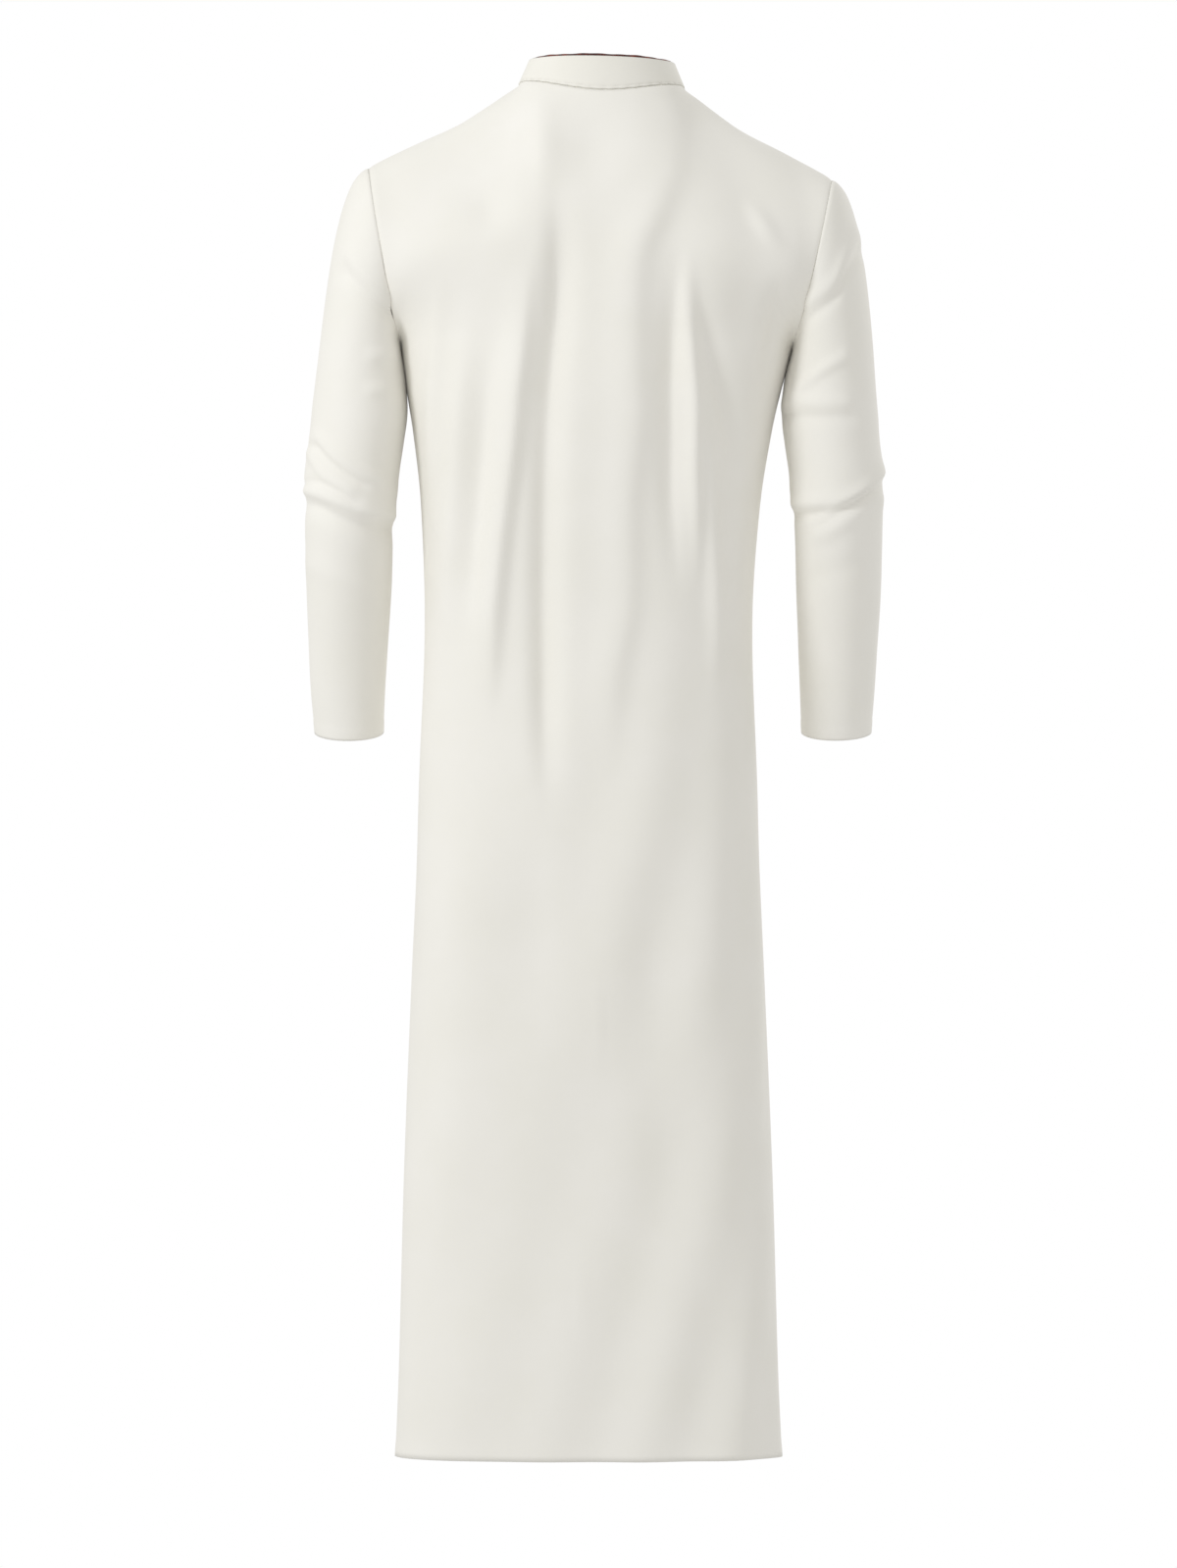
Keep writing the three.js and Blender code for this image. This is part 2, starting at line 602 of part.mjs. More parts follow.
add('back_panel', new THREE.Mesh(backPanel(), cloth(0xe8e6dd)));
add('front_panel', new THREE.Mesh(frontPanel(), cloth(0xe8e6dd)));
add('sleeve_left', new THREE.Mesh(sleeve(1), cloth(0xeae8df)));
add('sleeve_right', new THREE.Mesh(sleeve(-1), cloth(0xeae8df)));
add('collar', new THREE.Mesh(collar(), cloth(0xece9df)));
add('collar_piping', new THREE.Mesh(collarPiping(), cloth(0x5c1f10)));
add('placket_over', new THREE.Mesh(placket(LAY_GAP), cloth(0xe9e7de)));
add('placket_under', new THREE.Mesh(placket(-2 * WALL - LAY_GAP), cloth(0xe6e3d9)));
for (let number = 0; number < BUTTONS; number += 1) {
  add(`button_${number + 1}`, button(number));
}

export default robe;
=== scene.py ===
# %% [markdown]
# # A thobe robe
# A thobe is a long loose gown of smooth shirting with set-in sleeves, a stand collar and a front
# placket. It is shown filled out, as when it is worn, so each panel is one curved sheet with long
# soft folds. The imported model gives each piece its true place, and this lesson gives it its cloth.

# %% Load the frame
import math
import bmesh
import bpy
import numpy as np
from mathutils import Matrix, Vector


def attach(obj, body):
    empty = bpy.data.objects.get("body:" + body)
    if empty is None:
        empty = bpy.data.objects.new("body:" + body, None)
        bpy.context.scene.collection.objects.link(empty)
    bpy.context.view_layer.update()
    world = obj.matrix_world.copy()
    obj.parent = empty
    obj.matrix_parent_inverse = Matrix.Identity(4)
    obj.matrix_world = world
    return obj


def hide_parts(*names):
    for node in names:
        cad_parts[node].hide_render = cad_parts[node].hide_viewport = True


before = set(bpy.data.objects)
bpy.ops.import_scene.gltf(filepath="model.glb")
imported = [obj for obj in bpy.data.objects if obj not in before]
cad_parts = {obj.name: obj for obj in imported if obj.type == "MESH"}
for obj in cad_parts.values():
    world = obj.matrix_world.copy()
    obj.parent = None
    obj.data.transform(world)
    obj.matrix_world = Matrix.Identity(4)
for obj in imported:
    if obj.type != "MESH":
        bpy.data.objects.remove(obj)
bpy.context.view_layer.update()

MM = 0.001

# %% [markdown]
# ## The camera
# A long lens eight metres away shows the back without distortion. It is level, at the robe's
# middle height, and the robe's back faces +Y.

# %% Camera
CAMERA_PLACE = (0.014, 8.0, -0.7095)
camera_data = bpy.data.cameras.new("camera")
camera_data.lens = 180
camera_data.sensor_width = 36
camera = bpy.data.objects.new("camera", camera_data)
camera.location = CAMERA_PLACE
camera.rotation_euler = (math.radians(90), 0, math.radians(180))
bpy.context.collection.objects.link(camera)
bpy.context.scene.camera = camera
bpy.context.scene.view_settings.view_transform = "Standard"

# %% [markdown]
# ## The garment's form
# The form is a set of short tables in millimetres: rings of the body and arm, the line over the
# shoulder, the armhole and the collar. A smooth curve through each column gives any size between
# two rows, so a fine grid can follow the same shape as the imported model.

# %% Tables of the form
NECK_SHARE = 0.34
NECK_HALF, NECK_MIDDLE, NECK_DEEP = 83, -9, 71
WALL = 1.0
SEAM_GAP = 0.4
ARMPIT_Z, TIP_X, TIP_Z, HEM_Z = -262, 236, -88, -1394
ARMHOLE_REACH = 70
SLEEVE_HEAD_Z = -300
BACK, FRONT = 1, -1
BODY = {
    "z": [-1394, -1310, -1110, -910, -800, -710, -550, -425, -350, -306, -262],
    "half": [196, 192.5, 187, 179, 174, 171.5, 166, 172, 182, 190.5, 199.5],
    "back": [87, 89, 95, 105, 110, 108, 105, 112, 117, 118, 117],
    "front": [105, 105, 107, 109, 111, 114, 120, 125, 132, 135, 134],
    "square": [2.6, 2.6, 2.5, 2.45, 2.4, 2.4, 2.4, 2.4, 2.35, 2.3, 2.3],
}
SHOULDER = {"x": [83, 97, 113, 142, 183, 222, 236], "z": [1.5, -8, -20, -40, -60, -80, -88]}
ARMHOLE = {"z": [-262, -228, -178, -135, -88], "x": [199.5, 209, 219, 227.5, 236]}
ARM = {
    "z": [-656, -610, -560, -510, -436, -412, -392, -360, -330, -300],
    "outer": [284.5, 288.5, 290.5, 292, 293, 292.5, 293.5, 289.5, 287, 284],
    "inner": [215.5, 214, 211, 207.5, 204.5, 201, 199.5, 195, 191.5, 193.5],
    "mid": [-42, -31, -18, -6, 7, 8, 7, 5, 4, 2],
    "deep": [42, 45, 48, 52, 57, 59, 60, 62, 63, 64],
}
COLLAR = {
    "deg": [-55, 0, 55, 90, 120, 150, 180],
    "seam": [3, -6, 3, 1.5, -14, -44, -65],
    "top": [27, 27.8, 27, 24.5, 12, -13, -30],
}
LEAN = {
    "z": [-1400, -560, -330, -255, -85, 40],
    "body": [14, 14, 9.5, 6, 2, 0],
    "sleeve": [9, 9, 8, 6, 2, 0],
}


def curve(table, key, column, at):
    """A smooth curve through one column of a table, read at many places."""
    keys, values = np.array(table[key], float), np.array(table[column], float)
    at = np.clip(np.asarray(at, float), keys[0], keys[-1])
    rows = np.arange(len(keys))
    low, high = np.maximum(rows - 1, 0), np.minimum(rows + 1, len(keys) - 1)
    slope = (values[high] - values[low]) / (keys[high] - keys[low])
    i = np.clip(np.searchsorted(keys, at) - 1, 0, len(keys) - 2)
    span = keys[i + 1] - keys[i]
    t = (at - keys[i]) / span
    return hermite(values[i], slope[i] * span, values[i + 1], slope[i + 1] * span, t)


def hermite(p0, m0, p1, m1, t):
    """The usual cubic from p0 to p1 that leaves along m0 and arrives along m1."""
    a = 2 * t**3 - 3 * t**2
    return p0 * (1 + a) + m0 * (t**3 - 2 * t**2 + t) - p1 * a + m1 * (t**3 - t**2)


def ease(t):
    t = np.clip(t, 0, 1)
    return t * t * (3 - 2 * t)


def point(x, y, z):
    return np.stack(np.broadcast_arrays(x, y, z), axis=-1).astype(float)


# %% [markdown]
# ## The body panels
# Threads run from the neck and shoulder over the blades to the armpit, and rings carry on to the
# hem. The side of each panel is half of the armhole, then the side seam.

# %% Body form
TOP_LEAVE = {BACK: {"out": 60, "down": -100}, FRONT: {"out": 45, "down": -85}}
SHOULDER_LEAVE = 118
BLADE = {BACK: {"deep": 110, "high": -128}, FRONT: {"deep": 122, "high": -160}}
BLADE_POWER = 2.6
SIDE_PULL = 0.657
CHEST_LEAVE = 50


def neck_seam(deg):
    turn = np.radians(deg)
    return point(NECK_HALF * np.sin(turn), NECK_MIDDLE + NECK_DEEP * np.cos(turn),
                 curve(COLLAR, "deg", "seam", deg))


def top_edge(column, side):
    quarter = 90 * np.minimum(column, NECK_SHARE) / NECK_SHARE
    neck = neck_seam(quarter if side > 0 else 180 - quarter)
    outward = neck * [1, 1, 0] - [0, 5, 0]
    outward /= np.linalg.norm(outward, axis=-1, keepdims=True)
    neck = neck + outward * SEAM_GAP - [0, 0, SEAM_GAP]
    along = (column - NECK_SHARE) / (1 - NECK_SHARE)
    x = NECK_HALF + SEAM_GAP + (TIP_X - NECK_HALF - SEAM_GAP) * along
    z = curve(SHOULDER, "x", "z", x) - SEAM_GAP * (1 - along)
    shoulder = point(x, NECK_MIDDLE * (1 - ease(along * 2)), z)
    return np.where((column < NECK_SHARE)[..., None], neck, shoulder)


def top_tangent(column, side):
    t = ease(column / NECK_SHARE)
    out, down = TOP_LEAVE[side]["out"], TOP_LEAVE[side]["down"]
    return point(0, side * (out + (SHOULDER_LEAVE - out) * t), down * (1 - t))


def body_ring(column, z, side):
    turn = column * math.pi / 2
    power = 2 / curve(BODY, "z", "square", z)
    depth = curve(BODY, "z", "back" if side > 0 else "front", z) * side
    return point(curve(BODY, "z", "half", z) * np.sin(turn) ** power,
                 depth * np.maximum(0, np.cos(turn)) ** power, z)


def armhole_seam(along, side):
    z = (TIP_Z + ARMPIT_Z) / 2 + (TIP_Z - ARMPIT_Z) / 2 * np.cos(along * math.pi)
    return point(curve(ARMHOLE, "z", "x", z), side * ARMHOLE_REACH * np.sin(along * math.pi), z)


def blade_curve(column, side):
    """The level line round the fullest part of the back or chest, out to the armhole."""
    end = armhole_seam(np.array(0.5), side)
    deep, high = BLADE[side]["deep"], BLADE[side]["high"]
    full = end[0] / (1 - (ARMHOLE_REACH / deep) ** BLADE_POWER) ** (1 / BLADE_POWER)
    x = (top_edge(column, side)[..., 0] + body_ring(column, np.array(ARMPIT_Z), side)[..., 0]) / 2
    widest = (TIP_X + BODY["half"][-1]) / 2
    x = x * (1 + (end[0] / widest - 1) * column)
    y = side * deep * (1 - (x / full) ** BLADE_POWER) ** (1 / BLADE_POWER)
    return point(x, y, high + (end[2] - high) * ease(column))


def upper_thread(column, v, side):
    top, blade = top_edge(column, side), blade_curve(column, side)
    chest = body_ring(column, np.array(ARMPIT_Z), side)
    through = (chest - top) * 0.5 * (1 + SIDE_PULL * column**6)[..., None]
    below = (body_ring(column, np.array(ARMPIT_Z - 2), side) - chest) * CHEST_LEAVE
    t = v[..., None] * 2
    first = hermite(top, top_tangent(column, side), blade, through, np.minimum(t, 1))
    second = hermite(blade, through, chest, below, np.maximum(t - 1, 0))
    return np.where(t < 1, first, second)


def body_form(across, down, side):
    """across is -1 to 1 from the right seam to the left; down is 1 at the armpit and 2 at the hem."""
    column, v = np.abs(across), np.minimum(down, 1)
    upper = upper_thread(column, v, side)
    miss = armhole_seam(v, side) - upper_thread(np.ones_like(column), v, side)
    upper = upper + miss * (column**8)[..., None]
    z = ARMPIT_Z + (HEM_Z - ARMPIT_Z) * np.maximum(down - 1, 0)
    form = np.where((down < 1)[..., None], upper, body_ring(column, z, side))
    on_seam = (column > 0.9999) & (down >= 1)
    form[..., 1] = np.where(on_seam, side * SEAM_GAP / 2, form[..., 1])
    form[..., 0] *= np.where(across < 0, -1, 1)
    return form


SHOULDER_RISE, RISE_FROM, RISE_OVER = 6, -350, 200


def posture(form, part):
    """The garment leans a little to its left, and that shoulder is higher."""
    tilt = SHOULDER_RISE * form[..., 0] / TIP_X * ease((form[..., 2] - RISE_FROM) / RISE_OVER)
    return form + point(curve(LEAN, "z", part, form[..., 2]), 0, tilt)


# %% [markdown]
# ## Folds
# Shirting that hangs from the shoulder blades breaks into long folds, each steep on one side.
# A cloth simulation would place them by chance, so each is laid one by one as a soft ridge or trough:
# a path, how high it stands, and how wide it is on either side. Paths are short tables.

# %% Fold tables (across, along) in millimetres
BACK_FOLDS = [
    {"low": 9, "up": 19, "high": 8,
     "path": [(64, -160), (70, -195), (74, -285), (79, -370), (86, -444), (94, -540), (102, -660)]},
    {"low": 17, "up": 12, "high": -8,
     "path": [(44, -80), (40, -200), (46, -300), (47, -400), (46, -560), (42, -700), (34, -760)]},
    {"low": 12, "up": 15, "high": 4.5,
     "path": [(128, -215), (132, -290), (136, -380), (140, -473), (147, -600)]},
    {"low": 12, "up": 12, "high": -4,
     "path": [(104, -240), (110, -350), (116, -470), (118, -590)]},
    {"low": 10, "up": 8, "high": 3,
     "path": [(159, -180), (162, -285), (160, -400), (156, -500)]},
    {"low": 17, "up": 24, "high": 5,
     "path": [(-66, -12), (-69, -82), (-58, -125), (-38, -180), (-38, -285), (-42, -340), (-36, -430),
              (-36, -530), (-24, -600), (-14, -730)]},
    {"low": 9, "up": 13, "high": -5.5,
     "path": [(-78, -150), (-78, -300), (-82, -420), (-90, -540)]},
    {"low": 9, "up": 7, "high": 6.5,
     "path": [(-91, -158), (-90, -220), (-94, -270), (-100, -320), (-102, -390), (-108, -470),
              (-110, -530)]},
    {"low": 13, "up": 8, "high": -4.5,
     "path": [(-98, -170), (-114, -270), (-136, -345), (-150, -440)]},
    {"low": 9, "up": 8, "high": 4,
     "path": [(-107, -280), (-118, -390), (-124, -470), (-129, -560), (-128, -640)]},
    {"low": 12, "up": 9, "high": 3,
     "path": [(-150, -110), (-164, -140), (-185, -175)]},
    {"low": 9, "up": 11, "high": -4,
     "path": [(-180, -180), (-180, -240), (-166, -330)]},
    {"low": 15, "up": 12, "high": 3,
     "path": [(60, 0), (58, -60), (56, -130)]},
    {"low": 34, "up": 30, "high": -3,
     "path": [(0, -10), (4, -60), (10, -120)]},
    {"low": 22, "up": 20, "high": -3,
     "path": [(120, -100), (112, -130), (112, -170)]},
    {"low": 26, "up": 34, "high": -3,
     "path": [(60, -690), (58, -820), (62, -1000)]},
    {"low": 34, "up": 26, "high": 2.5,
     "path": [(130, -700), (135, -950), (140, -1250)]},
    {"low": 30, "up": 30, "high": -2.5,
     "path": [(-70, -720), (-64, -900), (-90, -1230)]},
    {"low": 26, "up": 30, "high": 2.5,
     "path": [(-128, -760), (-132, -1000), (-140, -1350)]},
    {"low": 3, "up": 3, "high": 0.9,
     "path": [(-8, -880), (-10, -960), (-8, -1010)]},
    {"low": 3, "up": 3, "high": 0.8,
     "path": [(5, -1170), (7, -1230), (8, -1280)]},
]
FRONT_FOLDS = [
    {"low": 12, "up": 17, "high": 7,
     "path": [(118, -170), (124, -300), (112, -450), (104, -650)]},
    {"low": 18, "up": 14, "high": -6,
     "path": [(84, -230), (80, -400), (68, -600), (60, -800)]},
    {"low": 12, "up": 12, "high": 4,
     "path": [(160, -200), (152, -330), (150, -520)]},
    {"low": 14, "up": 12, "high": 7,
     "path": [(-108, -160), (-112, -320), (-98, -520), (-92, -720)]},
    {"low": 14, "up": 18, "high": -5,
     "path": [(-74, -300), (-66, -480), (-50, -840)]},
    {"low": 12, "up": 12, "high": -4.5,
     "path": [(-140, -220), (-142, -380), (-134, -560)]},
    {"low": 24, "up": 24, "high": 4,
     "path": [(40, -520), (36, -800), (30, -1050)]},
    {"low": 30, "up": 26, "high": -3,
     "path": [(120, -760), (128, -1000), (136, -1300)]},
    {"low": 28, "up": 28, "high": 3,
     "path": [(-110, -800), (-120, -1050), (-128, -1350)]},
]


def fold_height(folds, across, along, fade):
    """Sum of the folds at each point. Each grows from nothing at both ends of its path."""
    total = np.zeros_like(across)
    for fold in folds:
        path = sorted((a, c) for c, a in fold["path"])
        stops, centres = np.array(path).T
        table = {"a": list(stops), "c": list(centres)}
        centre = curve(table, "a", "c", along)
        reach = min(fade, (stops[-1] - stops[0]) / 2)
        grown = ease((along - stops[0]) / reach) * ease((stops[-1] - along) / reach)
        off = across - centre
        wide = np.where(off < 0, fold["low"], fold["up"])
        total += fold["high"] * grown * np.exp(-((off / wide) ** 2))
    return total


def grid_normals(form, closed, sign):
    """Unit normals of a grid of points, from each point's neighbours."""
    if closed:
        across = np.roll(form, -1, axis=1) - np.roll(form, 1, axis=1)
    else:
        across = np.gradient(form, axis=1)
    normal = np.cross(across, np.gradient(form, axis=0)) * sign
    return normal / np.maximum(np.linalg.norm(normal, axis=-1, keepdims=True), 1e-9)


RELAX = {"rounds": 60, "top": 0.12, "end": 1.3, "over": 0.3}


def relax(form, down):
    """Averages each point with its neighbours across the cloth, except at the top edge and sides."""
    share = 0.5 * ease(down / RELAX["top"]) * ease((RELAX["end"] - down) / RELAX["over"])
    share = share[:, 1:-1, None]
    for _ in range(RELAX["rounds"]):
        beside = (form[:, :-2] + form[:, 2:]) / 2
        form[:, 1:-1] += (beside - form[:, 1:-1]) * share
    return form


WAVES = 14


def slow_waves(form, height, seed):
    """Shallow unevenness that worn, washed cloth has between its folds."""
    rng = np.random.default_rng(seed)
    total = np.zeros(form.shape[:2])
    for _ in range(WAVES):
        wave = rng.uniform([0.02, 0.02, 0.003], [0.07, 0.07, 0.022])
        total += np.sin(form @ wave + rng.uniform(0, 2 * math.pi)) / WAVES
    return total * height


# %% [markdown]
# ## From grid to cloth
# `create_grid` gives a flat sheet of quads with a place for each vertex in its rows. Every vertex
# is then carried to its place on the form, and Solidify gives the sheet the thickness of cloth.
# A UV map in metres lets the weave follow the threads.

# %% Sheet helper
def sheet_piece(name, rows, material, closed=False, wall=WALL):
    """rows is an array of points, rows x columns, in millimetres, outer face of the cloth."""
    ring = np.concatenate([rows, rows[:, :1]], axis=1) if closed else rows
    wide, tall = ring.shape[1] - 1, ring.shape[0] - 1
    sheet = bmesh.new()
    bmesh.ops.create_grid(sheet, x_segments=wide, y_segments=tall, size=1, calc_uvs=True)
    uv_layer = sheet.loops.layers.uv.verify()
    spots = np.array([v.co[:2] for v in sheet.verts])
    c = np.rint((spots[:, 0] + 1) / 2 * wide).astype(int)
    r = np.rint((1 - spots[:, 1]) / 2 * tall).astype(int)
    walked = np.cumsum(np.linalg.norm(np.diff(ring, axis=1, prepend=ring[:, :1]), axis=-1), axis=1)
    walked -= walked[:, -1:] / 2
    fallen = np.cumsum(np.linalg.norm(np.diff(ring, axis=0, prepend=ring[:1]), axis=-1), axis=0)
    places = ring[r, c] * MM
    uvs = np.stack([walked[r, c], -fallen[r, c]], axis=1) * MM
    for vert, place in zip(sheet.verts, places):
        vert.co = place
    sheet.verts.index_update()
    for face in sheet.faces:
        face.smooth = True
        for loop in face.loops:
            loop[uv_layer].uv = uvs[loop.vert.index]
    if closed:
        bmesh.ops.remove_doubles(sheet, verts=sheet.verts, dist=1e-6)
    mesh = bpy.data.meshes.new(name)
    sheet.to_mesh(mesh)
    sheet.free()
    piece = bpy.data.objects.new(name, mesh)
    bpy.context.collection.objects.link(piece)
    mesh.materials.append(material)
    if wall:
        solid = piece.modifiers.new("cloth thickness", "SOLIDIFY")
        solid.thickness = wall * MM
        solid.offset = -1
    print(name, "quads", len(mesh.polygons))
    return piece


def hang(piece, node):
    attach(piece, "root")
    if node:
        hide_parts(node)


# %% [markdown]
# ## Cloth: woven poly-cotton shirting
# It is a plain weave of fine yarn, so it is matt with a faint sheen at grazing angles. Its threads
# are about a quarter of a millimetre, too fine to show, so the weave is drawn at 0.6 mm.

# %% Material helpers
def from_hex(code):
    parts = [int(code[i:i + 2], 16) / 255 for i in (1, 3, 5)]
    return [p / 12.92 if p <= 0.04045 else ((p + 0.055) / 1.055) ** 2.4 for p in parts] + [1]


def new_material(name):
    material = bpy.data.materials.new(name)
    material.use_nodes = True
    return material, material.node_tree, material.node_tree.nodes["Principled BSDF"]


def add_node(tree, kind, settings=None, inputs=None, links=None):
    """Adds a node, sets its properties and sockets, and links sockets to other nodes' outputs."""
    node = tree.nodes.new(kind)
    for key, value in (settings or {}).items():
        setattr(node, key, value)
    for key, value in (inputs or {}).items():
        node.inputs[key].default_value = value
    for key, output in (links or {}).items():
        tree.links.new(output, node.inputs[key])
    return node


def noise(tree, place, scale, detail=2.0):
    """Cloudy noise in the piece's own metres."""
    sizes = {"Scale": scale, "Detail": detail}
    return add_node(tree, "ShaderNodeTexNoise", inputs=sizes, links={"Vector": place.outputs["Object"]})


def ribs(tree, place, direction, scale):
    """Even ribs that run across the cloth's own UV metres."""
    return add_node(tree, "ShaderNodeTexWave", {"bands_direction": direction}, {"Scale": scale},
                    {"Vector": place.outputs["UV"]})


def two_tone(tree, shader, fac, dark, light, start=0.0, stop=1.0):
    """Colours a shader between two tones, by a noise."""
    ramp = add_node(tree, "ShaderNodeValToRGB", links={"Fac": fac})
    ramp.color_ramp.elements[0].position = start
    ramp.color_ramp.elements[0].color = from_hex(dark)
    ramp.color_ramp.elements[1].position = stop
    ramp.color_ramp.elements[1].color = from_hex(light)
    tree.links.new(ramp.outputs["Color"], shader.inputs["Base Color"])


# %% Shirting
THREAD = 0.6 * MM


def woven_shirting(name, light, shade):
    material, tree, shader = new_material(name)
    place = add_node(tree, "ShaderNodeTexCoord")
    slub = noise(tree, place, 14, 4)
    tone = add_node(tree, "ShaderNodeMix", {"data_type": "RGBA"}, links={"Factor": slub.outputs["Fac"]})
    tone.inputs["A"].default_value = from_hex(light)
    tone.inputs["B"].default_value = from_hex(shade)
    tree.links.new(tone.outputs["Result"], shader.inputs["Base Color"])
    turns = math.pi / THREAD / 20
    weave = add_node(tree, "ShaderNodeMath", {"operation": "ADD"})
    tree.links.new(ribs(tree, place, "X", turns).outputs["Fac"], weave.inputs[0])
    tree.links.new(ribs(tree, place, "Y", turns).outputs["Fac"], weave.inputs[1])
    fine = add_node(tree, "ShaderNodeBump", inputs={"Strength": 0.25, "Distance": 0.00008},
                    links={"Height": weave.outputs[0]})
    crumple = noise(tree, place, 45, 3)
    soft = add_node(tree, "ShaderNodeBump", inputs={"Strength": 0.35, "Distance": 0.0006},
                    links={"Height": crumple.outputs["Fac"], "Normal": fine.outputs["Normal"]})
    tree.links.new(soft.outputs["Normal"], shader.inputs["Normal"])
    shader.inputs["Roughness"].default_value = 0.82
    shader.inputs["IOR"].default_value = 1.5
    shader.inputs["Specular IOR Level"].default_value = 0.3
    shader.inputs["Sheen Weight"].default_value = 0.12
    shader.inputs["Sheen Roughness"].default_value = 0.4
    return material


shirting = woven_shirting("woven poly-cotton shirting", "#f4f2ed", "#eeece4")
collar_cloth = woven_shirting("interlined poly-cotton", "#f2f0ea", "#eceae1")

# %% [markdown]
# ## Back and front panels
# The hem is turned up 12 mm and stitched, so the cloth stands a little proud there with a groove
# at the stitches. Near a seam the cloth dips into it.

# %% Panels
HEM_TURN = 12
FOLD_DEPTH, FOLD_FADE = 1.4, 150
UPPER_SHARE = 0.24
SIDE_FADE, TOP_FADE = 0.16, 0.06
PANEL_HALF = 200
SEAM_DIP = {"deep": 1.1, "wide": 2.2}
PANEL_WAVE, SLEEVE_WAVE = 5, 3
STITCH_IN = 1.5
BACK_SIZE, FRONT_SIZE = (176, 230), (160, 200)


def turned_edge(distance, width):
    """Proud over the turned hem, with a groove at its stitches."""
    proud = 0.5 * ease((width + STITCH_IN - distance) / STITCH_IN)
    return proud - 0.7 * np.exp(-(((distance - width + STITCH_IN) / 1.1) ** 2))


def panel(size, side, folds, seed):
    wide, tall = size
    across, down = np.meshgrid(np.linspace(-1, 1, wide + 1), np.linspace(0, 1, tall + 1))
    down = np.where(down < UPPER_SHARE, down / UPPER_SHARE, 1 + (down - UPPER_SHARE) / (1 - UPPER_SHARE))
    form = relax(body_form(across, down, side), down)
    normal = grid_normals(form, False, side)
    lift = FOLD_DEPTH * fold_height(folds, form[..., 0], form[..., 2], FOLD_FADE)
    lift += slow_waves(form, PANEL_WAVE, seed)
    lift *= ease((1 - np.abs(across)) / SIDE_FADE)
    lift *= ease(down / TOP_FADE)
    lift += turned_edge(form[..., 2] - HEM_Z, HEM_TURN)
    from_seam = (1 - np.abs(across)) * PANEL_HALF
    lift -= SEAM_DIP["deep"] * np.exp(-((from_seam / SEAM_DIP["wide"]) ** 2)) * (down < 1)
    posed = posture(form + normal * lift[..., None], "body")
    return posed, grid_normals(posed, False, side)


back_rows, back_normals = panel(BACK_SIZE, BACK, BACK_FOLDS, 4)
front_rows, front_normals = panel(FRONT_SIZE, FRONT, FRONT_FOLDS, 9)
back = sheet_piece("back_cloth", back_rows, shirting)
front = sheet_piece("front_cloth", front_rows[:, ::-1], shirting)
hang(back, "back_panel")
hang(front, "front_panel")

# %% [markdown]
# ## Sleeves
# The sleeve starts round the armhole, falls from the shoulder, and bends forward a little below
# the elbow. Bending pushes its cloth into folds across the back of the elbow, which overhang at
# their lower side. They differ on the two arms, so each has its own table.

# %% Sleeve form
FOREARM_TILT = math.radians(12.6)
ELBOW_Z, ELBOW_OVER = -400, 100
AROUND, TALL = 96, 190
HEAD_SHARE, HEAD_LENGTH = 0.36, 150
CUFF_Z = ARM["z"][0]
FRONT_CREASE = {"lower": 18, "share": 0.5}
UNDERARM = {"from": 0.55, "over": 0.4, "z": -350, "fade": 40}
LEFT, RIGHT = 1, -1
LEFT_CREASES = [
    {"low": 6, "up": 9, "high": 2.6,
     "path": [(-358, 0.81), (-373, 0.52), (-387, 0.07), (-396, -0.28), (-403, -0.64)]},
    {"low": 5, "up": 4, "high": -2.2,
     "path": [(-366, 0.8), (-384, 0.4), (-398, 0.0), (-406, -0.3)]},
    {"low": 5, "up": 7, "high": 2.2,
     "path": [(-372, 0.98), (-397, 0.58), (-407, 0.22), (-412, 0.0)]},
    {"low": 4, "up": 5, "high": -2.4,
     "path": [(-404, 1.0), (-404, 0.73), (-411, 0.37), (-425, -0.1)]},
    {"low": 4, "up": 12, "high": 4.2,
     "path": [(-411, 1.0), (-417, 0.66), (-425, 0.22), (-432, -0.22), (-436, -0.52), (-437, -1.0)]},
    {"low": 11, "up": 5, "high": -3.6,
     "path": [(-424, 1.0), (-430, 0.6), (-439, 0.2), (-446, -0.22), (-450, -0.6), (-450, -1.0)]},
    {"low": 8, "up": 10, "high": 2.4,
     "path": [(-180, 0.6), (-197, 0.2), (-221, -0.6)]},
    {"low": 8, "up": 7, "high": -2.2,
     "path": [(-196, 0.6), (-213, 0.2), (-235, -0.6)]},
    {"low": 7, "up": 8, "high": 2.4,
     "path": [(-278, -0.3), (-276, -0.7), (-274, -1.0)]},
    {"low": 7, "up": 8, "high": 2.2,
     "path": [(-312, -0.3), (-310, -0.7), (-307, -1.0)]},
    {"low": 12, "up": 12, "high": 1.2,
     "path": [(-486, 0.9), (-500, 0.2), (-520, -0.7)]},
]
